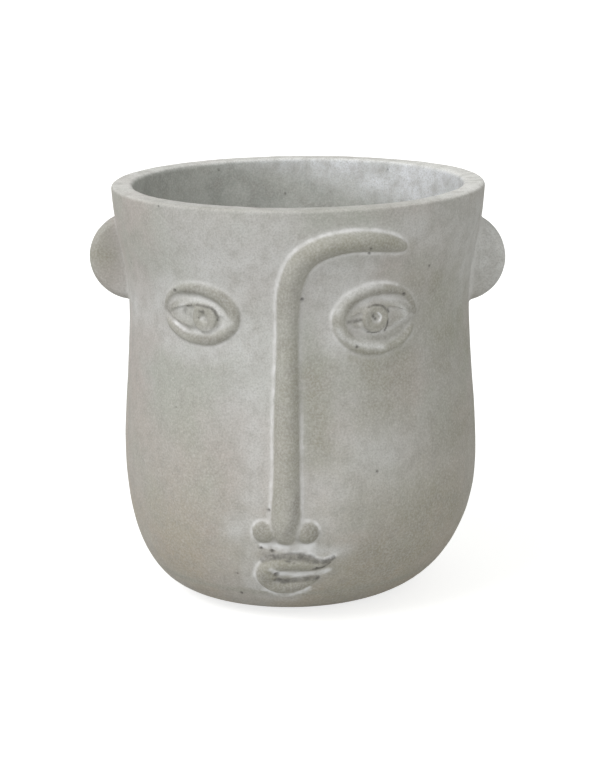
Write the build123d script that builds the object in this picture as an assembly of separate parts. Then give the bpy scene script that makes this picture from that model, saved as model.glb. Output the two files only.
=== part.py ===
from build123d import *
import os
from math import cos, pi, radians, sin, sqrt

os.makedirs("parts", exist_ok=True)

# Cement planter cast in one piece as a stylised head, with a rubber drain plug and four felt base pads.
# Millimetres, +Z up, the face looks along -Y. Heights of the head are measured from its flat base, and
# the finished planter stands on its pads at Z = 0. Across is measured along the wall from the middle of
# the face, positive towards +X.

# Outer form of the head
pot_height = 154.5
rim_radius = 70.0
waist_radius = 64.4
waist_height = 112.0
jaw_radius = 67.4
jaw_height = 52.6
base_radius = 35.3
jaw_fullness = 2.2  # 2 is a plain ellipse from base to jaw, more is squarer
chin_shift = -4.0  # sideways lean of the chin
chin_shift_height = 44.7
rim_rounding = 1.5
jaw_sections = 6
cheek_sections = 4
brow_sections = 4

# Inside of the pot
mouth_radius = 61.2
floor_radius = 45.0
floor_thickness = 12.0
floor_corner = 9.0
lip_rounding = 2.0

# Bands of the relief: depth of the flat back under the wall over the band's width, and how far a band's
# end dives below the wall over that depth. Mounds: depth of the foot under the wall over the radius.
band_root = 0.27
band_dive = 0.3
mound_root = 0.3

# Brow and nose, one band: across, height and width at each station from the nose end to the brow tip
brow_nose_stations = (
    (-0.8, 37.5, 11.8),
    (-0.4, 50.0, 12.4),
    (0.0, 72.0, 11.6),
    (0.2, 94.0, 10.6),
    (0.7, 114.0, 9.8),
    (2.1, 127.8, 10.6),
    (6.2, 136.0, 10.8),
    (13.3, 140.5, 10.2),
    (23.0, 142.4, 9.6),
    (33.0, 141.9, 9.2),
    (39.6, 140.5, 7.8),
    (43.6, 139.2, 5.4),
)
brow_nose_rise = 0.3  # rise over width

# Nostril wings, round mounds beside the nose end
wing_offset = 7.7
wing_height = 37.7
wing_radius = 4.9
wing_rise = 2.7

# Eyes, the ring of the eyelid given by its middle line
eye_across = 34.0
eye_height = 115.2
lid_half_length = 15.2
left_lid_half_height = 9.2
right_lid_half_height = 10.8
lid_width = 7.4
lid_tail_width = 2.0
lid_start = 2.0  # degrees round the ring, from the temple over the top
lid_end = 336.0
lid_sections = 9
lid_rise = 0.26
eyeball_half_length = 13.8
eyeball_half_height = 8.8
eyeball_rise = 0.11
eyeball_shares = (-0.9, -0.7, -0.35, 0.0, 0.35, 0.7, 0.9)  # stations along the half length
slit_length = 26.0
slit_top = 2.8
slit_bottom = -4.6
slit_level = -1.2
slit_floor = 0.6  # height of the slit's floor over the wall
left_iris_shift = -4.4  # towards the nose
right_iris_shift = -2.2
iris_level = -1.0
iris_radius = 5.4
iris_height = 2.2
iris_bevel = 0.7
pupil_radius = 1.7
pupil_depth = 0.8

# Lips, one band bent round like a C: across, height and width at each station from the upper tip
lip_stations = (
    (16.2, 26.7, 2.6),
    (13.8, 25.4, 4.6),
    (10.6, 24.8, 6.5),
    (6.1, 25.4, 8.0),
    (1.0, 25.7, 8.2),
    (-4.2, 24.8, 8.2),
    (-7.5, 22.0, 8.0),
    (-7.7, 18.7, 7.8),
    (-4.8, 15.9, 7.6),
    (-0.4, 15.0, 7.7),
    (4.2, 15.9, 7.0),
    (8.2, 17.4, 5.2),
    (10.8, 18.6, 3.0),
)
lip_rise = 0.32

# Round mound that fills the inside of the lips' bend
lip_corner_across = -6.9
lip_corner_height = 20.1
lip_corner_radius = 4.4
lip_corner_rise = 2.6

# Ears
ear_radius = 16.8
left_ear_reach = 62.9
right_ear_reach = 61.0
ear_height = 125.5
ear_thickness = 10.5
ear_rounding = 3.6
ear_set_back = 1.0

# Drain hole and rubber plug
drain_radius = 8.0
plug_clearance = 0.35
plug_taper = 1.2
plug_recess = 2.0
flange_radius = 14.0
flange_thickness = 3.0
neck_radius = 3.5
neck_length = 6.0
knob_radius = 7.0
knob_thickness = 5.0
knob_rounding = 2.0

# Felt base pads
pad_radius = 6.0
pad_thickness = 2.0
pad_ring_radius = 25.0
pad_turns = {"back_right": 45, "back_left": 135, "front_left": 225, "front_right": 315}


def ease(share):
    """Smooth step from 0 to 1 with level ends."""
    return (1 - cos(pi * share)) / 2


def steps(start, end, count):
    """Evenly spaced values from start, leaving out the end."""
    return [start + (end - start) * index / count for index in range(count)]


def wall_radius(height):
    """Outer radius of the head at a height above its base."""
    if height < jaw_height:
        fall = (1 - height / jaw_height) ** jaw_fullness
        return base_radius + (jaw_radius - base_radius) * (1 - fall) ** (1 / jaw_fullness)
    if height < waist_height:
        share = (height - jaw_height) / (waist_height - jaw_height)
        return jaw_radius + (waist_radius - jaw_radius) * ease(share)
    share = (height - waist_height) / (pot_height - waist_height)
    return waist_radius + (rim_radius - waist_radius) * ease(share)


def lean(height):
    """Sideways place of the head's middle at a height above its base."""
    return chin_shift * max(1 - height / chin_shift_height, 0) ** 2


def wall_point(across, height):
    """Point on the wall, across measured along it from the middle of the face."""
    radius = wall_radius(height)
    turn = across / radius
    return Vector(lean(height) + radius * sin(turn), -radius * cos(turn), height)


def wall_plane(across, height):
    """Plane that touches the wall, its X level along the wall and its Z straight out of it."""
    step = 0.25
    sideways = wall_point(across + step, height) - wall_point(across - step, height)
    upwards = wall_point(across, height + step) - wall_point(across, height - step)
    return Plane(wall_point(across, height), x_dir=sideways, z_dir=sideways.cross(upwards))


def band_section(spot, along, width, root, top):
    """Half ellipse from a flat back under the wall to its top, square to the band's direction."""
    frame = Plane(spot.origin, x_dir=spot.z_dir.cross(along), z_dir=along)
    crown = EllipticalCenterArc((0, -root), width / 2, root + top, 0, arc_size=180)
    return frame * make_face(Curve() + [crown, Line(crown @ 1, crown @ 0)])


def band(stations, rise):
    """Rounded band along the wall whose ends dive into it."""
    path = [Vector(across, height) for across, height, width in stations]
    widths = [width for across, height, width in stations]
    start = path[0] + (path[0] - path[1]).normalized() * widths[0] / 2
    finish = path[-1] + (path[-1] - path[-2]).normalized() * widths[-1] / 2
    spots = [wall_plane(place.X, place.Y) for place in [start, *path, finish]]
    roots = [width * band_root for width in [widths[0], *widths, widths[-1]]]
    tops = [-roots[0] * band_dive, *[width * rise for width in widths], -roots[-1] * band_dive]
    widths = [widths[0] / 2, *widths, widths[-1] / 2]
    last = len(spots) - 1
    sections = []
    for index, spot in enumerate(spots):
        along = spots[min(index + 1, last)].origin - spots[max(index - 1, 0)].origin
        sections.append(band_section(spot, along.normalized(), widths[index], roots[index], tops[index]))
    return loft(sections)


def mound(radius, rise):
    """Round mound turned from a quarter ellipse, with its foot under the wall."""
    root = radius * mound_root
    crown = EllipticalCenterArc((0, -root), radius, root + rise, 0, arc_size=90)
    sides = Polyline(crown @ 1, (0, -root), crown @ 0)
    return revolve(Plane.XZ * make_face(Curve() + [crown, sides]), Axis.Z)


def lip_corner():
    """Mound that fills the inside of the lips' bend."""
    return wall_plane(lip_corner_across, lip_corner_height) * mound(lip_corner_radius, lip_corner_rise)


def head_body():
    """Plain outer form of the head, lofted through circles."""
    jaw_turns = steps(0, pi / 2, jaw_sections)
    heights = [jaw_height * (1 - cos(turn) ** (2 / jaw_fullness)) for turn in jaw_turns]
    heights += steps(jaw_height, waist_height, cheek_sections)
    heights += steps(waist_height, pot_height, brow_sections)
    heights += [pot_height]
    body = loft([Pos(lean(height), 0, height) * Circle(wall_radius(height)) for height in heights])
    return fillet(body.edges().group_by(Axis.Z)[-1], rim_rounding)


def nostril_wing(side):
    """Round lobe beside the nose end, the seam of its turned face towards the nose."""
    place = wall_plane(brow_nose_stations[0][0] + side * wing_offset, wing_height)
    return place * Rot(0, 0, 90 * (1 + side)) * mound(wing_radius, wing_rise)


def brow_and_nose():
    """One band from the brow tip down to the nose end, with the nostril wings beside it."""
    return band(brow_nose_stations, brow_nose_rise) + nostril_wing(-1) + nostril_wing(1)


def eyelid_ring(side, half_height):
    """Band round the eye, wide by the nose and thin where its ends meet at the temple."""
    stations = []
    for turn in [*steps(lid_start, lid_end, lid_sections), lid_end]:
        width = lid_tail_width + (lid_width - lid_tail_width) * sin(radians(turn) / 2)
        across = side * (eye_across + lid_half_length * cos(radians(turn)))
        top_height = eye_height + left_lid_half_height
        stations.append((across, top_height - half_height * (1 - sin(radians(turn))), width))
    return band(stations, lid_rise)


def eye_bulge(side):
    """Low oval mound inside the eyelid ring."""
    stations = []
    for share in eyeball_shares:
        width = 2 * eyeball_half_height * sqrt(1 - share**2)
        stations.append((side * (eye_across + share * eyeball_half_length), eye_height, width))
    return band(stations, eyeball_rise)


def eye_slit(side):
    """Almond opening between the lids, with a floor that follows the wall."""
    corner = slit_length / 2
    upper = ThreePointArc((-corner, slit_level), (0, slit_top), (corner, slit_level))
    lower = ThreePointArc((corner, slit_level), (0, slit_bottom), (-corner, slit_level))
    almond = wall_plane(side * eye_across, eye_height) * make_face(Curve() + [upper, lower])
    floor = Cylinder(wall_radius(eye_height) + slit_floor, 2 * (slit_top - slit_bottom))
    return extrude(almond, lid_width, both=True) - Pos(0, 0, eye_height) * floor


def iris(side, shift):
    """Button iris with a dimple for the pupil."""
    button = Cylinder(iris_radius, 2 * iris_height)
    button = chamfer(button.edges().group_by(Axis.Z)[-1], iris_bevel)
    button -= Pos(0, 0, iris_height) * Cylinder(pupil_radius, 2 * pupil_depth)
    return wall_plane(side * eye_across, eye_height) * Pos(side * shift, iris_level) * button


def eye(side, lid_half_height, iris_shift):
    """One eye: eyelid ring and bulge, opened by the slit, with the iris inside."""
    return eyelid_ring(side, lid_half_height) + eye_bulge(side) - eye_slit(side) + iris(side, iris_shift)


def ear(side, reach):
    """Round disc ear with softened edges, its flat front turned the way the face looks."""
    disc = Cylinder(ear_radius, ear_thickness, rotation=(90, 0, 0))
    disc = fillet(disc.edges().filter_by(GeomType.CIRCLE), ear_rounding)
    return Pos(side * reach, ear_set_back, ear_height) * disc


def cavity():
    """Tapered inside of the pot with a rounded floor corner and a softened mouth."""
    corner = FilletPolyline(
        (0, floor_thickness),
        (floor_radius, floor_thickness),
        (mouth_radius, pot_height - lip_rounding),
        radius=floor_corner,
    )
    lip = CenterArc((mouth_radius + lip_rounding, pot_height - lip_rounding), lip_rounding, 180, -90)
    closing = Polyline(lip @ 1, (mouth_radius + lip_rounding, 2 * pot_height), (0, 2 * pot_height), corner @ 0)
    return revolve(Plane.XZ * make_face(Curve() + [corner, lip, closing]), Axis.Z)


def head_pot():
    """The casting: body, ears and face relief, hollowed and drilled."""
    relief = [
        ear(-1, left_ear_reach),
        ear(1, right_ear_reach),
        brow_and_nose(),
        eye(-1, left_lid_half_height, left_iris_shift),
        eye(1, right_lid_half_height, right_iris_shift),
        lip_corner(),
        band(lip_stations, lip_rise),
    ]
    casting = head_body()
    for form in relief:
        casting += form
    return casting - cavity() - Cylinder(drain_radius, 4 * floor_thickness)


def drain_plug():
    """Rubber plug: tapered shank in the drain hole, flange on the floor, and a knob to pull."""
    shank_radius = drain_radius - plug_clearance
    flange_top = floor_thickness + flange_thickness
    knob_base = flange_top + neck_length
    outline = Polyline(
        (0, plug_recess),
        (shank_radius - plug_taper, plug_recess),
        (shank_radius, floor_thickness),
        (flange_radius, floor_thickness),
        (flange_radius, flange_top),
        (neck_radius, flange_top),
        (neck_radius, knob_base),
        (knob_radius, knob_base),
        (knob_radius, knob_base + knob_thickness),
        (0, knob_base + knob_thickness),
        close=True,
    )
    profile = make_face(outline)
    knob_corners = profile.vertices().filter_by_position(Axis.X, knob_radius, knob_radius)
    profile = fillet(knob_corners.sort_by(Axis.Y)[-2:], knob_rounding)
    return revolve(Plane.XZ * profile, Axis.Z)


def base_pad(turn):
    """Felt disc stuck to the flat base."""
    place = Pos(lean(0), 0) * Rot(0, 0, turn) * Pos(pad_ring_radius, 0, -pad_thickness / 2)
    return place * Cylinder(pad_radius, pad_thickness)


# Everything stands on the pads
stand = Pos(0, 0, pad_thickness)
export_step(stand * head_pot(), "parts/head_pot.step")
export_step(stand * drain_plug(), "parts/drain_plug.step")
for pad_name, pad_turn in pad_turns.items():
    export_step(stand * base_pad(pad_turn), f"parts/base_pad_{pad_name}.step")
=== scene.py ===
from math import cos, radians, sin, tau

import bmesh
import bpy
import numpy as np
from mathutils import Matrix, Vector, noise


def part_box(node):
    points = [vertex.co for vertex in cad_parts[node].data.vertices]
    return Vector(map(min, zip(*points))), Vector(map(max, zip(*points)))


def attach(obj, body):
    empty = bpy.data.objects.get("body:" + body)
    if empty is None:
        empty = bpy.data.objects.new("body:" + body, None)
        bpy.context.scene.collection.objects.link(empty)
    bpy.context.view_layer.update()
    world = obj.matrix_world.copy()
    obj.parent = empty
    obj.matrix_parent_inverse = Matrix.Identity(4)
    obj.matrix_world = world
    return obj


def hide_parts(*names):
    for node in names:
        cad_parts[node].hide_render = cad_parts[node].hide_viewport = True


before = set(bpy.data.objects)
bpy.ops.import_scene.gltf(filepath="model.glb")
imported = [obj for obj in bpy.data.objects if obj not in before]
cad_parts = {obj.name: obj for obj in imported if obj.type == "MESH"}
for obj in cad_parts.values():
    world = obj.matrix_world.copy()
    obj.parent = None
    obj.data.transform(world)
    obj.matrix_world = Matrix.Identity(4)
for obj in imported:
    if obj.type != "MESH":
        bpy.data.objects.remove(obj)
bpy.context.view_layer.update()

# Cement head planter: the casting with its face relief, the rubber drain plug and the felt pads.
# Metres, +Z up, the face looks along -Y. A place on the face is its distance across, towards +X, and its
# height above the flat base, both in millimetres as seen from the front.

mm = 0.001
head_low, head_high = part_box("head_pot")
plug_low, plug_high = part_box("drain_plug")
base_level = head_low.z

# Mesh of the casting
merge_distance = 0.001 * mm
voxel = 0.5 * mm
worn_rounds = 1
triangle_budget = 190000
fine_shades = ("halo", "raised", "pit", "grit_and_shade", "lime_and_highlight")  # the mesh keeps its full detail where these are
shade_least = 0.12  # a shade below this counts as none there

# Uneven wall
wobble_size = 34 * mm
wobble_depth = 0.5 * mm
dent_size = 7 * mm
dent_depth = 0.16 * mm
even_height = 14 * mm  # the unevenness grows from none at the flat base to all of it at this height

# Shades of the outside
crease_rounds = 2
crease_full = 0.04 * mm  # a hollow this deep is a full crease
halo_rounds = 50
halo_full = 0.40 * mm  # a wide hollow this deep has a full halo
raised_full = 1.2 * mm  # a form that stands out this far is fully raised
plain_wall_depth = 20 * mm  # the wall is plain this far back, and the face begins this far in front
chin_shift = -4 * mm  # the chin leans this far at the base
chin_shift_height = 44.7 * mm  # and not at all from this height up
foot_height = 90 * mm  # the warmer, darker colour at the foot fades out at this height

# Shades of the inside, which lies within the mouth, above the floor, and doesn't face outwards
mouth_reach = 62.4 * mm
floor_level = 11.5 * mm
inside_facing = 0.3
inside_rounds = 3
least_reach = 1 * mm  # keeps a place on the axis from dividing by zero
inside_bloom_and_light_width = 47 * mm  # the white bloom and painted light inside fade over this length towards -X
inside_bloom_and_light_depth = 12.5 * mm  # and over this depth below the rim

# Shade of the rim, a paler top that is partly the rim's own colour and partly painted light from above
rim_depth = 5 * mm  # it fades out this far below the top
rim_slope = (0.1875, 0.8125)  # upward part of the normal at which it begins and is full
rim_side_shares = (0.76, 1)  # at the ends towards -X and +X; the rise towards +X is painted light
rim_front = (-60 * mm, -25 * mm)  # the worn front ends between these places along Y
rim_front_shares = (0.3, 1)  # at those two places

# Half widths from the middle of a stroke, or radii from a pit, at which its shade ends. The shade is full
# one half width or radius nearer.
grit_and_shade_end = 1.6
lime_and_highlight_end = 1.7
line_end = 1.7
pit_end = 1.5

# Air pits in the face: radius, then the place on the face
face_pits = (
    (0.65, (-40.4, 122.7)),
    (0.6, (5.8, 122.4)),
    (0.45, (29.7, 140.0)),
    (0.45, (29.0, 138.0)),
    (0.6, (40.8, 121.6)),
    (0.55, (24.7, 104.6)),
    (0.55, (-6.7, 46.2)),
    (0.65, (-9.8, 31.2)),
    (0.75, (-5.9, 30.2)),
    (0.6, (-18.3, 10.0)),
    (0.9, (-4.7, 20.8)),
    (0.5, (10.1, 23.7)),
)
face_pit_radius = 0.65  # all of these are as deep as a pit of this radius
stray_pits = 60
stray_pit_radius = (0.3, 0.55)
pit_seed = 12
pit_depth_share = 0.9

# Marks on the face, at places picked on the photograph and turned into millimetres on the wall.
# Each has the half width of its stroke, then the places along it.

# Dark grit on and between the lips and in the eyes, and painted shade in the pupils
grit_and_shade_marks = (
    (0.9, ((-9.5, 26.5), (-7.0, 27.7), (-3.4, 28.3), (0.2, 28.4))),
    (1.2, ((0.2, 28.4), (3.7, 28.4), (6.5, 27.8), (8.4, 27.1))),
    (0.8, ((9.1, 26.5), (12.8, 25.9), (16.0, 27.3))),
    (0.3, ((-1.5, 27.1), (0.2, 26.8), (2.0, 26.2))),
    (0.4, ((8.8, 23.5), (11.9, 23.8), (14.7, 25.5))),
    (0.8, ((-4.9, 18.3), (-2.5, 17.6), (0.6, 18.0), (4.2, 18.5), (7.3, 18.8), (9.9, 19.1))),
    (0.35, ((-32.2, 118.7), (-29.1, 118.7), (-26.5, 118.2))),
    (0.4, ((-26.5, 118.2), (-25.1, 116.9), (-24.1, 115.0), (-24.2, 114.0))),
    (0.4, ((-37.0, 115.6), (-36.4, 116.5))),
    (0.35, ((-35.6, 117.8), (-34.1, 118.5))),
    (0.3, ((-34.7, 114.9), (-34.8, 113.9))),
    # painted shade in the left pupil
    (0.4, ((-30.2, 116.6), (-29.4, 116.5))),
    (0.3, ((28.6, 118.5), (30.9, 119.1), (33.5, 118.5), (35.0, 116.8), (35.5, 115.8))),
    (0.6, ((21.8, 113.5), (23.9, 113.5), (25.8, 114.0))),
    (0.25, ((35.3, 113.4), (34.9, 110.7), (33.9, 109.0))),
    (0.25, ((28.1, 109.4), (30.1, 109.0), (32.4, 109.2))),
    # painted shade in the right pupil
    (0.35, ((30.3, 116.4), (30.1, 115.2), (30.8, 114.0))),
)
# White lime around and between the lips, and painted highlights in the pupils
lime_and_highlight_marks = (
    (0.9, ((-9.5, 32.4), (-5.9, 32.4), (-2.5, 31.1), (1.5, 30.6), (5.0, 30.4), (7.6, 29.7))),
    (0.6, ((7.6, 29.7), (9.9, 27.9), (11.7, 26.8), (13.4, 27.0), (16.4, 28.0))),
    (0.9, ((-4.2, 32.3), (1.1, 31.6), (4.6, 32.1), (7.2, 32.1), (9.4, 32.6))),
    (0.8, ((-6.3, 23.2), (-3.3, 21.0), (1.1, 20.3), (6.0, 20.7), (10.3, 20.9), (13.9, 22.0))),
    (0.6, ((-9.0, 13.2), (-5.7, 10.8), (-2.8, 10.5), (0.6, 10.8), (4.1, 12.2), (7.1, 14.2))),
    # painted highlights in the pupils
    (0.3, ((32.0, 116.3), (33.0, 114.9), (32.4, 113.4))),
    (0.3, ((-30.6, 113.6), (-29.6, 114.4))),
)
# Zones in which the creases around the nose, the brow, the eyes and the lips are pale with lime
line_marks = (
    (1.6, ((-13.0, 36.1), (-12.6, 39.7), (-10.5, 41.7), (-8.1, 43.0), (-6.9, 45.0))),
    (1.6, ((5.9, 43.5), (9.1, 42.7), (11.3, 40.8), (12.0, 38.0), (11.1, 34.6), (9.2, 32.8))),
    (1.6, ((-11.0, 27.3), (-12.9, 23.5), (-12.9, 18.1), (-11.2, 14.5))),
    (1.6, ((-11.2, 14.5), (-8.3, 11.9), (-3.4, 11.1), (1.6, 11.8))),
    (1.6, ((16.8, 115.9), (16.9, 117.5), (17.9, 119.6), (20.6, 122.9), (25.2, 125.6), (29.0, 126.8))),
    (1.2, ((29.0, 126.8), (32.0, 127.2), (35.1, 126.3), (37.4, 124.9))),
    (1.4, ((17.0, 112.4), (18.4, 108.3), (21.1, 105.6))),
    (1.4, ((-17.2, 114.3), (-18.4, 109.3), (-24.1, 105.7), (-29.9, 104.3), (-35.6, 106.1), (-40.2, 110.0))),
    (1.6, ((-4.0, 118.2), (-3.7, 123.7), (-2.8, 130.7), (-1.4, 136.2), (1.3, 140.3), (5.3, 143.4))),
    (1.6, ((5.3, 143.4), (11.1, 145.7), (17.5, 146.6), (24.6, 146.9), (32.2, 146.1), (38.0, 144.2))),
    (1.6, ((38.0, 144.2), (42.0, 141.3), (41.6, 139.4), (38.0, 137.3), (33.5, 137.1))),
    (1.6, ((8.4, 133.5), (11.7, 135.5), (16.2, 136.9), (23.2, 137.3), (29.7, 137.3), (34.0, 137.0))),
    (1.6, ((-4.1, 118.2), (-4.1, 111.6), (-4.5, 97.7), (-5.2, 83.8), (-5.4, 73.4), (-5.8, 59.3))),
    (1.6, ((-5.8, 59.3), (-6.4, 51.6), (-6.9, 47.7))),
    (1.4, ((5.3, 78.2), (5.2, 64.1), (5.3, 54.7), (5.7, 47.9), (6.4, 43.3))),
)
# Soft pale bloom on the wall, and painted light on the right of the forehead, the right cheek and the right
# ear
bloom_and_light_marks = (
    (22, ((-22.7, 131.0), (-9.6, 135.0))),
    (16, ((10.4, 126.0),)),
    (12, ((-10.5, 110.0), (-11.9, 90.0))),
    (6, ((-10.5, 90.0), (-11.9, 50.0))),
    (5, ((-13.0, 42.0), (-19.0, 38.0))),
    # painted light on the right of the forehead
    (12, ((47.0, 143.0),)),
    # painted light on the right cheek
    (18, ((30.0, 66.0),)),
    (4, ((12.0, 132.0), (20.0, 133.5), (30.0, 133.5))),
    (4.5, ((10.0, 31.5), (20.0, 29.5))),
    (16, ((13.0, 54.0), (4.0, 34.0))),
    # painted light on the right ear
    (20, ((73.0, 128.0),)),
    (12, ((-57.0, 112.0),)),
    (4.5, ((-49.0, 113.0), (-46.0, 122.0), (-39.0, 127.5), (-31.0, 129.0), (-23.0, 127.0), (-15.0, 120.0))),
    (4.5, ((-48.0, 108.0), (-41.0, 102.5), (-32.0, 100.0), (-22.0, 101.5), (-14.0, 108.0), (-13.0, 116.0))),
    (4.5, ((27.0, 129.5), (18.0, 124.0), (13.5, 115.0), (16.0, 106.0), (22.0, 101.0))),
    (3.0, ((-13.0, 31.0), (-15.5, 23.0), (-14.0, 14.5), (-8.0, 10.5), (1.0, 10.0))),
    (4.5, ((-10.0, 33.5), (0.0, 33.0), (12.0, 31.0))),
)
# Soft darker patches that look damp, and painted shade below the right eye where the real pot has a fold
damp_and_shade_marks = (
    (15, ((34.0, 94.0), (34.0, 85.0))),
    (9, ((10.0, 95.0), (9.5, 70.0))),
    (18, ((52.0, 38.0), (24.0, 12.0))),
    (14, ((52.0, 122.0), (58.0, 95.0))),
    (8, ((-4.0, 21.0), (6.0, 21.5))),
    (2.5, ((37.0, 141.0), (42.5, 139.5))),
    # painted shade where the real pot has a fold under the right eye
    (1.8, ((22.0, 100.5), (28.0, 98.5), (35.0, 99.5), (41.0, 103.5))),
    (4.5, ((-8.5, 37.5), (-8.0, 37.0))),
    (4.0, ((8.0, 37.0), (8.5, 37.5))),
    (9, ((-74.0, 127.0),)),
    (14, ((60.0, 68.0),)),
    (3.0, ((10.0, 138.5), (23.0, 142.0), (36.0, 141.5))),
)
# Painted shade on and under the raised forms: the eye rings, the nose and its wings, and the lips
painted_shade_marks = (
    (1.4, ((21.4, 117.6), (23.3, 120.3), (27.1, 122.9), (30.9, 123.7))),
    (1.6, ((30.9, 123.7), (34.3, 123.9), (38.1, 121.9), (41.2, 118.7), (43.9, 114.3))),
    (1.5, ((23.1, 110.3), (25.8, 108.1), (29.6, 106.5), (33.5, 106.2))),
    (1.5, ((33.5, 106.2), (37.3, 107.3), (40.4, 109.6), (42.7, 111.8))),
    (1.6, ((-43.4, 114.9), (-41.7, 118.1), (-38.5, 121.0))),
    (1.9, ((-38.5, 121.0), (-34.3, 123.4), (-30.4, 124.5), (-26.7, 124.1))),
    (2.2, ((-26.7, 124.1), (-23.1, 122.6), (-20.2, 120.3), (-18.2, 117.5), (-16.8, 115.0))),
    (1.1, ((-40.8, 111.6), (-38.1, 108.8), (-34.1, 106.9), (-30.2, 106.5))),
    (1.0, ((-39.9, 111.3), (-37.5, 109.9), (-34.8, 109.1))),
    (1.4, ((-30.2, 106.5), (-26.4, 106.4), (-22.0, 107.8), (-18.4, 110.0))),
    (0.7, ((40.4, 122.1), (42.7, 119.0), (44.3, 115.9), (44.8, 113.2))),
    (1.6, ((4.2, 52.5), (3.5, 47.3), (2.3, 42.1), (0.5, 37.5))),
    (2.6, ((8.0, 39.6), (9.9, 38.0))),
    (2.0, ((-10.3, 38.3), (-9.1, 39.8))),
    (1.8, ((-10.2, 20.2), (-7.5, 16.7), (-3.3, 15.0), (1.6, 15.4), (6.4, 17.4), (9.3, 19.0))),
)
# Painted highlights on the eyelids and eye rings and painted light on the front of the right ear, and pale
# lime on the edges of the lips
wash_and_highlight_marks = (
    (2.0, ((8.0, 31.5), (13.0, 30.5), (17.0, 29.5))),
    (0.8, ((-11.7, 25.1), (-12.9, 21.8), (-12.6, 18.3), (-11.0, 15.0), (-9.0, 13.2))),
    # painted highlights on the eye rings and lids
    (1.4, ((17.9, 118.1), (19.4, 120.8), (23.7, 124.0), (29.0, 125.9), (32.8, 126.3))),
    (1.2, ((26.3, 119.6), (29.7, 121.2), (33.5, 121.2), (37.3, 119.6), (40.4, 116.6), (41.7, 113.8))),
    (0.8, ((26.2, 110.7), (28.9, 109.0), (31.9, 108.4), (35.0, 109.2), (37.3, 110.9), (41.2, 112.5))),
    (1.2, ((18.1, 111.4), (19.6, 108.4), (23.2, 106.4), (28.9, 104.6), (33.5, 103.6))),
    (1.2, ((-38.6, 116.4), (-36.1, 119.3), (-31.5, 120.9), (-27.8, 120.2))),
    (1.2, ((-27.8, 120.2), (-24.8, 118.6), (-22.6, 115.6), (-19.7, 113.8))),
    (1.0, ((-38.0, 113.6), (-35.2, 113.2))),
    (1.1, ((-32.4, 108.9), (-30.2, 109.0), (-26.4, 109.7), (-22.7, 111.9), (-19.7, 113.5))),
    # painted light on the front of the right ear
    (11, ((74.0, 126.0),)),
)

# Rubber plug
flange_radius = (plug_high.x - plug_low.x) / 2
shank_radius = 7.65 * mm
shank_end_radius = 6.45 * mm
shank_top = base_level + 12 * mm
flange_thickness = 3 * mm
neck_radius = 3.5 * mm
knob_radius = 7 * mm
knob_thickness = 5 * mm
dimple_radius = 0.6 * knob_radius
dimple_depth = 0.8 * mm
plug_edge = 0.7 * mm
sharp_angle = radians(35)  # edges sharper than this are rounded
spin_steps = 72
edge_segments = 3

# Felt pads
pad_nodes = [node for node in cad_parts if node.startswith("base_pad")]
pad_edge = 0.35 * mm
pad_segments = 64
pad_fuzz = 0.12 * mm
fuzz_size = 0.8 * mm

# Finishes. Sand, dust and fibres are drawn coarser than real ones, so that they show.
noise_span = (0.3, 0.7)  # nearly all of a noise lies between these levels
sand_size = 0.7 * mm
lump_size = 3.5 * mm
cement_relief = 0.25 * mm
cement_roughness = (0.82, 0.97)
rubber_bloom_size = 5 * mm
dust_size = 0.6 * mm
rubber_relief = 0.05 * mm
rubber_roughness = (0.55, 0.75)
rubber_colours = ("2b2b2c", "3d3c3b")
fibre_size = 0.9 * mm
fibre_tangle = 2.5
felt_relief = 0.15 * mm
felt_roughness = 0.95
felt_sheen = 0.3
felt_colours = ("55524e", "7d7973")

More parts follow.
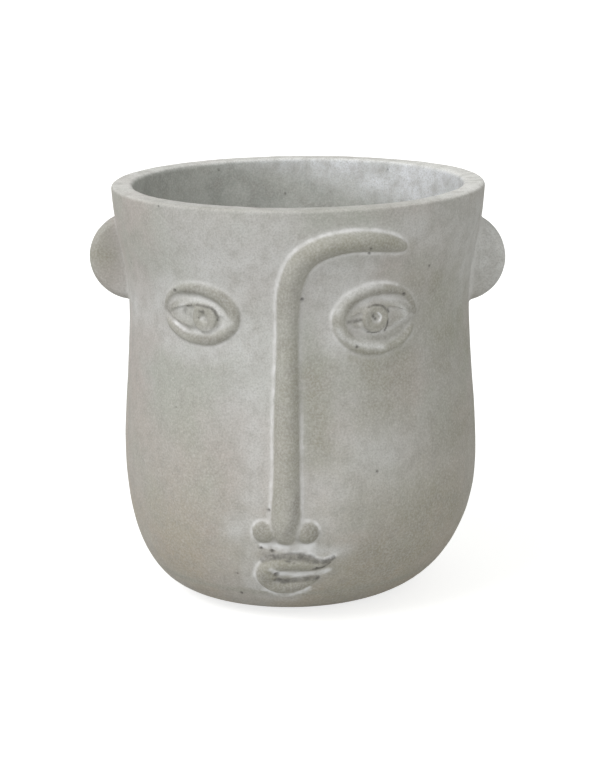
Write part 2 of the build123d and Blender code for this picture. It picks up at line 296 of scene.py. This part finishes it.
# Coats of colour on the cement, each over the last. Each has the painted shade that it follows, or None for
# all over; the size of its patches in millimetres and their detail; the levels of noise that give the least
# and the most of it; those two shares; and its colour. The two of under 1 mm are sand.
cement_colour = "b4b2ae"
cement_coats = (
    (None, 40, 3, (0.42, 0.60), (0.0, 0.7), "b7ada7"),
    (None, 25, 3, (0.44, 0.62), (0.0, 0.7), "aaada3"),
    ("foot", 30, 3, (0.35, 0.65), (0.3, 0.9), "ab9d89"),
    # pale bloom, and painted light on the right of the face and the right ear
    ("bloom", 11, 5, (0.32, 0.66), (0.42, 0.78), "cfcfce"),
    ("raised", 9, 5, (0.35, 0.65), (0.65, 0.95), "a19f94"),
    # damp patches, and painted shade under the right eye
    ("damp_and_shade", 9, 4, (0.32, 0.66), (0.3, 0.8), "939080"),
    # painted shade on and under the raised forms
    ("painted_shade", 5, 4, (0.32, 0.66), (0.3, 0.75), "85827a"),
    # painted highlights on the eyelids, eye rings and right ear, and pale lime on the lip edges
    ("wash_and_highlight", 4, 4, (0.32, 0.62), (0.5, 1.0), "d2d2d0"),
    ("inside", 4, 3, (0.35, 0.65), (1.0, 1.0), "b0b2ac"),
    ("inside", 10, 5, (0.45, 0.64), (0.0, 0.5), "90938e"),
    # painted light on the inside wall near the rim and towards +X, where the key lamp falls, over a white
    # bloom
    ("bloom_and_light_inside", 12, 5, (0.35, 0.60), (0.55, 1.0), "e8eaee"),
    # pale rim top, partly painted light from above, strongest towards +X
    ("rim", 12, 4, (0.35, 0.65), (0.8, 0.98), "f2f1ee"),
    (None, 5, 5, (0.44, 0.72), (0.0, 0.45), "98958e"),
    (None, 0.8, 3, (0.40, 0.70), (0.0, 0.4), "cfcdc9"),
    (None, 0.6, 2, (0.42, 0.70), (0.0, 0.35), "8d8a83"),
    ("halo", 7, 4, (0.38, 0.60), (0.05, 0.35), "d2d1cf"),
    ("crease", 5, 4, (0.38, 0.60), (0.0, 0.2), "dddcdb"),
    ("line", 4, 4, (0.34, 0.62), (0.25, 0.95), "e0dfde"),
    # white lime, and painted highlights in the pupils
    ("lime_and_highlight", 5, 4, (0.32, 0.56), (0.4, 1.0), "e6e6e6"),
    # dark grit, and painted shade in the pupils
    ("grit_and_shade", 2, 4, (0.32, 0.64), (0.42, 0.95), "64625d"),
    # painted shade in the air pits
    ("pit", 4, 2, (0.3, 0.7), (0.6, 0.8), "55534f"),
)

# Camera and light, the photograph's frame is 600 by 765
image_height = 765
focal_pixels = 2091
sensor_height = 36.0
camera_target = Vector((0, 0, 0.0784))
camera_distance = 0.8
camera_near = 10 * mm
camera_elevation = radians(14.0)
camera_azimuth = radians(4.2)
camera_roll = radians(-0.6)
# Lamps: name, direction towards it, strength, angle that it fills, colour
lamps = (
    ("key_lamp", (-0.58, -0.45, 0.68), 1.7, radians(36), "fdfdff"),
    ("front_lamp", (0.35, -0.88, 0.35), 0.8, radians(40), "fdfdff"),
)
ambient_strength = 0.44
ambient_colour = "fdfffa"
white = (1, 1, 1, 1)
floor_size = 6.0
floor_colour = "c8c8c6"
floor_lift = 0.74


# Small helpers

# Sockets of the nodes that spread a range and mix two colours, in the order used below
range_sockets = ("Value", "From Min", "From Max", "To Min", "To Max")
mix_sockets = ("Factor", "A", "B")


def linear(hex_colour):
    """Linear colour of an sRGB hex value, by the standard's own curve."""
    shares = [int(hex_colour[index:index + 2], 16) / 255 for index in (0, 2, 4)]
    curved = [share / 12.92 if share <= 0.04045 else ((share + 0.055) / 1.055) ** 2.4 for share in shares]
    return curved + [1.0]


def add(tree, kind, inputs=(), **settings):
    """One node with its settings; an input is a value or another node's output."""
    node = tree.nodes.new(kind)
    for name, value in settings.items():
        setattr(node, name, value)
    for socket, value in dict(inputs).items():
        if isinstance(value, bpy.types.NodeSocket):
            tree.links.new(value, node.inputs[socket])
        else:
            node.inputs[socket].default_value = value
    return node


def blank_material(name):
    """New material, its node tree and its Principled shader."""
    material = bpy.data.materials.new(name)
    material.use_nodes = True
    tree = material.node_tree
    return material, tree, tree.nodes["Principled BSDF"]


def mesh_of(shape, name):
    """Mesh of a finished bmesh, which is freed."""
    mesh = bpy.data.meshes.new(name)
    shape.to_mesh(mesh)
    shape.free()
    return mesh


def with_modifier(mesh, kind, group=(), **settings):
    """Mesh with one modifier applied, and a group of its vertices for the modifier to use."""
    carrier = bpy.data.objects.new("carrier", mesh)
    bpy.context.scene.collection.objects.link(carrier)
    carrier.vertex_groups.new(name="group").add(list(group), 1.0, "REPLACE")
    modifier = carrier.modifiers.new(kind, kind)
    for name, value in settings.items():
        setattr(modifier, name, value)
    graph = bpy.context.evaluated_depsgraph_get()
    shaped = bpy.data.meshes.new_from_object(carrier.evaluated_get(graph), depsgraph=graph)
    bpy.data.objects.remove(carrier)
    return shaped


def finished_piece(name, mesh, material, body, node):
    """Adds the object, at the origin, that stands for a CAD node."""
    mesh.materials.clear()
    mesh.materials.append(material)
    mesh.polygons.foreach_set("use_smooth", [True] * len(mesh.polygons))
    piece = bpy.data.objects.new(name, mesh)
    bpy.context.scene.collection.objects.link(piece)
    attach(piece, body)
    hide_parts(node)


# The casting

def merged_head():
    """Copy of the head's solid with its loose triangles joined."""
    shape = bmesh.new()
    shape.from_mesh(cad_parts["head_pot"].data)
    bmesh.ops.remove_doubles(shape, verts=shape.verts, dist=merge_distance)
    return mesh_of(shape, "head_copy")


def vectors(elements, name):
    """One vector per element, as an array."""
    values = np.empty(len(elements) * 3)
    elements.foreach_get(name, values)
    return values.reshape(-1, 3)


def uneven(places, size):
    """Smooth noise between 0 and 1 with lumps of one size."""
    return np.array([noise.noise(Vector(place)) for place in places / size]) * 0.5 + 0.5


class Surface:
    """Places, normals and neighbours of a mesh's vertices."""

    def __init__(self, mesh):
        self.mesh = mesh
        edges = np.empty(len(mesh.edges) * 2, dtype=int)
        mesh.edges.foreach_get("vertices", edges)
        edges = edges.reshape(-1, 2)
        self.near = np.concatenate((edges[:, 0], edges[:, 1]))
        self.far = np.concatenate((edges[:, 1], edges[:, 0]))
        self.count = np.bincount(self.near, minlength=len(mesh.vertices))
        self.places = vectors(mesh.vertices, "co")
        self.normals = vectors(mesh.vertices, "normal")

    def spread(self, values, rounds):
        """Values averaged over the neighbours again and again."""
        columns = np.array(values, dtype=float).reshape(len(self.places), -1)
        for _ in range(rounds):
            sums = [np.bincount(self.near, column[self.far], len(column)) for column in columns.T]
            columns = (columns + np.array(sums).T / self.count[:, None]) / 2
        return columns.reshape(np.shape(values))

    def move(self, places):
        """New places for the vertices."""
        self.places = places
        self.mesh.vertices.foreach_set("co", places.ravel())
        self.mesh.update()
        self.normals = vectors(self.mesh.vertices, "normal")

    def press(self, depth):
        """Moves the vertices in by a depth each."""
        self.move(self.places - self.normals * depth[:, None])

    def hollow(self, rounds):
        """How far each vertex lies in a hollow, negative on a ridge."""
        return ((self.spread(self.places, rounds) - self.places) * self.normals).sum(1)

    def paint(self, name, values):
        """Values kept on the mesh under a name that a material reads."""
        layer = self.mesh.attributes.new(name, "FLOAT", "POINT")
        layer.data.foreach_set("value", np.clip(values, 0, 1).astype(np.float32))

    def height(self):
        """Height of each vertex above the base."""
        return self.places[:, 2] - base_level

    def outwards(self):
        """How far each vertex is from the axis, times how much its normal points away from the axis."""
        return (self.places[:, :2] * self.normals[:, :2]).sum(1)

    def mark_gaps(self, marks):
        """Distance of each vertex from the nearest mark on the face, in half widths of that mark."""
        seen = np.column_stack((self.places[:, 0], self.height())) / mm
        nearest = np.full(len(seen), np.inf)
        for half_width, places in marks:
            # A mark with one place is a dot, whose stroke has no length
            for start, end in zip(places, places[1:] or places):
                along = np.subtract(end, start)
                share = np.clip((seen - start) @ along / (along @ along or 1), 0, 1)
                gaps = np.linalg.norm(seen - start - share[:, None] * along, axis=1)
                nearest = np.minimum(nearest, gaps / half_width)
        on_face = (self.places[:, 1] < 0) & (self.normals[:, 1] < 0)
        return np.where(on_face, nearest, np.inf)


def stroke(gaps, end):
    """Shade with a clear edge, from the distances to its marks."""
    return np.clip(end - gaps, 0, 1)


def patch(gaps):
    """Shade that fades away softly, from the distances to its marks."""
    return np.exp(-gaps**2)


def wear(surface):
    """Softens corners, then presses the surface in unevenly so that it stays inside the solid."""
    surface.move(surface.spread(surface.places, worn_rounds))
    depth = uneven(surface.places, wobble_size) * wobble_depth
    depth += uneven(surface.places, dent_size) * dent_depth
    surface.press(depth * np.clip(surface.height() / even_height, 0, 1))


def pit_gaps(surface):
    """Distance of each vertex from the nearest air pit in radii of that pit, and the radius for its depth."""
    gaps = surface.mark_gaps([(radius, (place,)) for radius, place in face_pits])
    radii = np.full(len(gaps), face_pit_radius * mm)
    dice = np.random.default_rng(pit_seed)
    for index in dice.integers(len(gaps), size=stray_pits):
        radius = dice.uniform(*stray_pit_radius) * mm
        own_gaps = np.linalg.norm(surface.places - surface.places[index], axis=1) / radius
        radii = np.where(own_gaps < gaps, radius, radii)
        gaps = np.minimum(gaps, own_gaps)
    return gaps, radii


def standing_out(surface):
    """How far each vertex of the face stands out of the plain wall, which is measured at the back."""
    height = surface.height()
    lean = chin_shift * np.clip(1 - height / chin_shift_height, 0, 1) ** 2
    reach = np.hypot(surface.places[:, 0] - lean, surface.places[:, 1])
    outer = surface.outwards() > 0
    # Mean reach of the plain wall in rings of 1 mm, read between the middles of the rings
    ring = (height / mm).astype(int)
    plain = outer & (surface.places[:, 1] > plain_wall_depth)
    sums = np.bincount(ring[plain], reach[plain], ring.max() + 1)
    counts = np.bincount(ring[plain], minlength=ring.max() + 1)
    wall = np.interp(height / mm - 0.5, np.flatnonzero(counts), sums[counts > 0] / counts[counts > 0])
    return np.where(outer & (surface.places[:, 1] < -plain_wall_depth), reach - wall, 0)


def inside_shade(surface):
    """1 on the inside of the pot, 0 outside."""
    reach = np.hypot(surface.places[:, 0], surface.places[:, 1])
    facing = surface.outwards() / np.maximum(reach, least_reach)
    inner = (reach < mouth_reach) & (facing < inside_facing) & (surface.height() > floor_level)
    return surface.spread(inner.astype(float), inside_rounds)


def inside_bloom_and_light_shade(surface, inside):
    """Share of white bloom and painted light on the inside: most near the rim and towards +X,
    where the key lamp falls.
    """
    below_rim = head_high.z - surface.places[:, 2]
    return inside * np.clip(1 + surface.places[:, 0] / inside_bloom_and_light_width - below_rim / inside_bloom_and_light_depth, 0, 1)


def rim_shade(surface):
    """1 on the flat top of the rim, less at the worn front and towards -X, 0 below its edges. It carries
    painted light, most towards +X.
    """
    across, deep, high = surface.places.T
    near_top = np.clip((high - head_high.z + rim_depth) / rim_depth, 0, 1)
    level = np.interp(surface.normals[:, 2], rim_slope, (0, 1))
    side = np.interp(across, (head_low.x, head_high.x), rim_side_shares)
    return near_top * level * side * np.interp(deep, rim_front, rim_front_shares)


def cast_head():
    """The head as cast: worn corners, uneven wall and air pits, painted with what its material reads."""
    mesh = with_modifier(merged_head(), "REMESH", mode="VOXEL", voxel_size=voxel)
    surface = Surface(mesh)
    wear(surface)
    pits, pit_radii = pit_gaps(surface)
    crease = np.clip(surface.hollow(crease_rounds) / crease_full, 0, 1)
    inside = inside_shade(surface)
    shades = {
        "crease": crease,
        "line": crease * stroke(surface.mark_gaps(line_marks), line_end),
        "halo": surface.hollow(halo_rounds) / halo_full,
        "raised": standing_out(surface) / raised_full,
        "pit": stroke(pits, pit_end),
        "grit_and_shade": stroke(surface.mark_gaps(grit_and_shade_marks), grit_and_shade_end),
        "lime_and_highlight": stroke(surface.mark_gaps(lime_and_highlight_marks), lime_and_highlight_end),
        "bloom": patch(surface.mark_gaps(bloom_and_light_marks)),
        "damp_and_shade": patch(surface.mark_gaps(damp_and_shade_marks)),
        "painted_shade": patch(surface.mark_gaps(painted_shade_marks)),
        "wash_and_highlight": patch(surface.mark_gaps(wash_and_highlight_marks)),
        "foot": 1 - surface.height() / foot_height,
        "rim": rim_shade(surface),
        "inside": inside,
        "bloom_and_light_inside": inside_bloom_and_light_shade(surface, inside),
    }
    for name, shade in shades.items():
        surface.paint(name, shade)
    surface.press(np.clip(1 - pits**2, 0, 1) * pit_radii * pit_depth_share)
    # The plain wall is thinned until the whole mesh is within its budget, and the relief stays as it is
    fine = np.any([shades[name] > shade_least for name in fine_shades], axis=0)
    fine &= (inside < shade_least) & (shades["rim"] < shade_least)
    mesh.calc_loop_triangles()
    mesh = with_modifier(
        mesh, "DECIMATE", np.flatnonzero(fine).tolist(), ratio=triangle_budget / len(mesh.loop_triangles),
        vertex_group="group", invert_vertex_group=True, use_collapse_triangulate=True,
    )
    finished_piece("cast_head", mesh, cement(), "pot", "head_pot")


def cement():
    """Cement cast in a mould and sandblasted: matt, warm grey with faint pink and green blotches, pale where
    lime has settled, darker on raised forms and in damp patches, bluish and cloudy inside. Painted shade
    darkens the eye rings, nose, lips, pupils and air pits; painted light pales the eyelids, pupils,
    right ear, right cheek and forehead, the rim's top and the inside towards +X."""
    material, tree, shader = blank_material("sandblasted_cement")
    place = add(tree, "ShaderNodeTexCoord").outputs["Object"]
    colour = linear(cement_colour)
    for shade, size, detail, span, shares, hex_colour in cement_coats:
        grain = {"Vector": place, "Scale": 1 / (size * mm), "Detail": detail}
        patches = add(tree, "ShaderNodeTexNoise", grain).outputs["Fac"]
        limits = zip(range_sockets, (patches, *span, *shares))
        share = add(tree, "ShaderNodeMapRange", limits).outputs["Result"]
        if shade:
            painted = add(tree, "ShaderNodeAttribute", attribute_name=shade).outputs["Fac"]
            share = add(tree, "ShaderNodeMath", {0: share, 1: painted}, operation="MULTIPLY").outputs[0]
        coat = zip(mix_sockets, (share, colour, linear(hex_colour)))
        colour = add(tree, "ShaderNodeMix", coat, data_type="RGBA").outputs["Result"]
    sand = add(tree, "ShaderNodeTexNoise", {"Vector": place, "Scale": 1 / sand_size, "Detail": 3})
    lumps = add(tree, "ShaderNodeTexNoise", {"Vector": place, "Scale": 1 / lump_size, "Detail": 4})
    relief = add(tree, "ShaderNodeMath", {0: sand.outputs["Fac"], 1: lumps.outputs["Fac"]}, operation="ADD")
    bump = add(
        tree, "ShaderNodeBump", {"Strength": 0.5, "Distance": cement_relief, "Height": relief.outputs[0]}
    )
    limits = zip(range_sockets, (lumps.outputs["Fac"], *noise_span, *cement_roughness))
    rough = add(tree, "ShaderNodeMapRange", limits)
    tree.links.new(colour, shader.inputs["Base Color"])
    tree.links.new(rough.outputs["Result"], shader.inputs["Roughness"])
    tree.links.new(bump.outputs["Normal"], shader.inputs["Normal"])
    return material


# The plug

def drain_plug():
    """Plug turned from its outline: tapered shank, flange, neck and a dimpled knob."""
    flange_top = shank_top + flange_thickness
    knob_low = plug_high.z - knob_thickness
    outline = (
        (0, plug_low.z),
        (shank_end_radius, plug_low.z),
        (shank_radius, shank_top),
        (flange_radius, shank_top),
        (flange_radius, flange_top),
        (neck_radius, flange_top),
        (neck_radius, knob_low),
        (knob_radius, knob_low),
        (knob_radius, plug_high.z),
        (dimple_radius, plug_high.z),
        (0, plug_high.z - dimple_depth),
    )
    shape = bmesh.new()
    points = [shape.verts.new((reach, 0, level)) for reach, level in outline]
    edges = [shape.edges.new(pair) for pair in zip(points, points[1:])]
    bmesh.ops.spin(
        shape, geom=points + edges, cent=(0, 0, 0), axis=(0, 0, 1), angle=tau,
        steps=spin_steps, use_merge=True,
    )
    bmesh.ops.remove_doubles(shape, verts=shape.verts, dist=merge_distance)
    bmesh.ops.recalc_face_normals(shape, faces=shape.faces)
    corners = [edge for edge in shape.edges if edge.calc_face_angle() > sharp_angle]
    bmesh.ops.bevel(
        shape, geom=corners, offset=plug_edge, affect="EDGES", segments=edge_segments, profile=0.5,
        material=-1,
    )
    mesh = mesh_of(shape, "drain_plug_turned")
    finished_piece("drain_plug_turned", mesh, rubber(), "plug", "drain_plug")


def rubber():
    """Moulded rubber: near black, dull, with a faint bloom and dust."""
    material, tree, shader = blank_material("moulded_rubber")
    place = add(tree, "ShaderNodeTexCoord").outputs["Object"]
    cloud = {"Vector": place, "Scale": 1 / rubber_bloom_size, "Detail": 4}
    bloom = add(tree, "ShaderNodeTexNoise", cloud).outputs["Fac"]
    dust = add(tree, "ShaderNodeTexNoise", {"Vector": place, "Scale": 1 / dust_size, "Detail": 2})
    coat = zip(mix_sockets, (bloom, *map(linear, rubber_colours)))
    colour = add(tree, "ShaderNodeMix", coat, data_type="RGBA")
    rough = add(tree, "ShaderNodeMapRange", zip(range_sockets, (bloom, *noise_span, *rubber_roughness)))
    bump = add(
        tree, "ShaderNodeBump", {"Strength": 0.3, "Distance": rubber_relief, "Height": dust.outputs["Fac"]}
    )
    tree.links.new(colour.outputs["Result"], shader.inputs["Base Color"])
    tree.links.new(rough.outputs["Result"], shader.inputs["Roughness"])
    tree.links.new(bump.outputs["Normal"], shader.inputs["Normal"])
    return material


# The pads

def base_pad(node, material):
    """Felt disc with a pressed edge and a slightly fuzzy side."""
    low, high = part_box(node)
    middle = (low + high) / 2
    radius = (high.x - low.x) / 2
    shape = bmesh.new()
    bmesh.ops.create_cone(
        shape, cap_ends=True, segments=pad_segments, radius1=radius, radius2=radius, depth=high.z - low.z,
        matrix=Matrix.Translation(middle),
    )
    rims = [edge for edge in shape.edges if abs(edge.verts[0].co.z - edge.verts[1].co.z) < merge_distance]
    bmesh.ops.bevel(
        shape, geom=rims, offset=pad_edge, affect="EDGES", segments=edge_segments, profile=0.5, material=-1
    )
    for vert in shape.verts:
        away = Vector((vert.co.x - middle.x, vert.co.y - middle.y, 0))
        fuzz = noise.noise(vert.co / fuzz_size) * 0.5 + 0.5
        vert.co -= away.normalized() * fuzz * pad_fuzz
    finished_piece(f"felt_{node}", mesh_of(shape, f"felt_{node}"), material, "pot", node)


def felt():
    """Pressed wool felt: dark grey with paler fibres lying every way."""
    material, tree, shader = blank_material("pressed_felt")
    place = add(tree, "ShaderNodeTexCoord").outputs["Object"]
    tangle = {"Vector": place, "Scale": 1 / fibre_size, "Detail": 5, "Distortion": fibre_tangle}
    fibres = add(tree, "ShaderNodeTexNoise", tangle).outputs["Fac"]
    coat = zip(mix_sockets, (fibres, *map(linear, felt_colours)))
    colour = add(tree, "ShaderNodeMix", coat, data_type="RGBA")
    bump = add(tree, "ShaderNodeBump", {"Strength": 0.7, "Distance": felt_relief, "Height": fibres})
    shader.inputs["Roughness"].default_value = felt_roughness
    shader.inputs["Sheen Weight"].default_value = felt_sheen
    tree.links.new(colour.outputs["Result"], shader.inputs["Base Color"])
    tree.links.new(bump.outputs["Normal"], shader.inputs["Normal"])
    return material


# Studio

def shown_rays(tree):
    """1 for rays that show the backdrop itself: camera, glossy and transmission rays."""
    path = add(tree, "ShaderNodeLightPath")
    shown = path.outputs["Is Camera Ray"]
    for ray in ("Is Glossy Ray", "Is Transmission Ray"):
        shown = add(tree, "ShaderNodeMath", {0: shown, 1: path.outputs[ray]}, operation="MAXIMUM").outputs[0]
    return shown


def studio_floor():
    """Plain pale floor, lifted to white where the camera sees it unshaded."""
    shape = bmesh.new()
    bmesh.ops.create_grid(shape, x_segments=2, y_segments=2, size=floor_size)
    mesh = mesh_of(shape, "studio_floor")
    material, tree, shader = blank_material("pale_floor")
    shader.inputs["Base Color"].default_value = linear(floor_colour)
    shader.inputs["Roughness"].default_value = 1.0
    shader.inputs["Specular IOR Level"].default_value = 0.0
    shader.inputs["Emission Color"].default_value = white
    lift = add(tree, "ShaderNodeMath", {0: shown_rays(tree), 1: floor_lift}, operation="MULTIPLY")
    tree.links.new(lift.outputs[0], shader.inputs["Emission Strength"])
    mesh.materials.append(material)
    floor = bpy.data.objects.new("studio_floor", mesh)
    bpy.context.scene.collection.objects.link(floor)


def studio_light():
    """White surroundings and broad lamps: the key at the upper left and a weaker one at the front right."""
    world = bpy.data.worlds.new("studio")
    bpy.context.scene.world = world
    world.use_nodes = True
    tree = world.node_tree
    background = tree.nodes["Background"]
    shown = shown_rays(tree)
    level = add(tree, "ShaderNodeMapRange", {"Value": shown, "To Min": ambient_strength, "To Max": 1.0})
    coat = zip(mix_sockets, (shown, linear(ambient_colour), white))
    colour = add(tree, "ShaderNodeMix", coat, data_type="RGBA")
    tree.links.new(level.outputs["Result"], background.inputs["Strength"])
    tree.links.new(colour.outputs["Result"], background.inputs["Color"])
    for name, direction, strength, spread, hex_colour in lamps:
        lamp = bpy.data.lights.new(name, "SUN")
        lamp.energy = strength
        lamp.angle = spread
        lamp.color = linear(hex_colour)[:3]
        holder = bpy.data.objects.new(name, lamp)
        holder.rotation_euler = (-Vector(direction)).to_track_quat("-Z", "Y").to_euler()
        bpy.context.scene.collection.objects.link(holder)


def photo_camera():
    """Camera at the photograph's viewing angle."""
    camera = bpy.data.cameras.new("photo_camera")
    camera.sensor_fit = "VERTICAL"
    camera.sensor_height = sensor_height
    camera.lens = focal_pixels / image_height * sensor_height
    camera.clip_start = camera_near
    aim = Vector((
        sin(camera_azimuth) * cos(camera_elevation),
        -cos(camera_azimuth) * cos(camera_elevation),
        sin(camera_elevation),
    ))
    turn = (-aim).to_track_quat("-Z", "Y").to_matrix() @ Matrix.Rotation(camera_roll, 3, "Z")
    viewer = bpy.data.objects.new("photo_camera", camera)
    viewer.matrix_world = Matrix.Translation(camera_target + aim * camera_distance) @ turn.to_4x4()
    bpy.context.scene.collection.objects.link(viewer)
    bpy.context.scene.camera = viewer


photo_camera()
studio_floor()
studio_light()
bpy.context.scene.view_settings.view_transform = "Standard"

cast_head()
drain_plug()
pad_felt = felt()
for pad_node in pad_nodes:
    base_pad(pad_node, pad_felt)
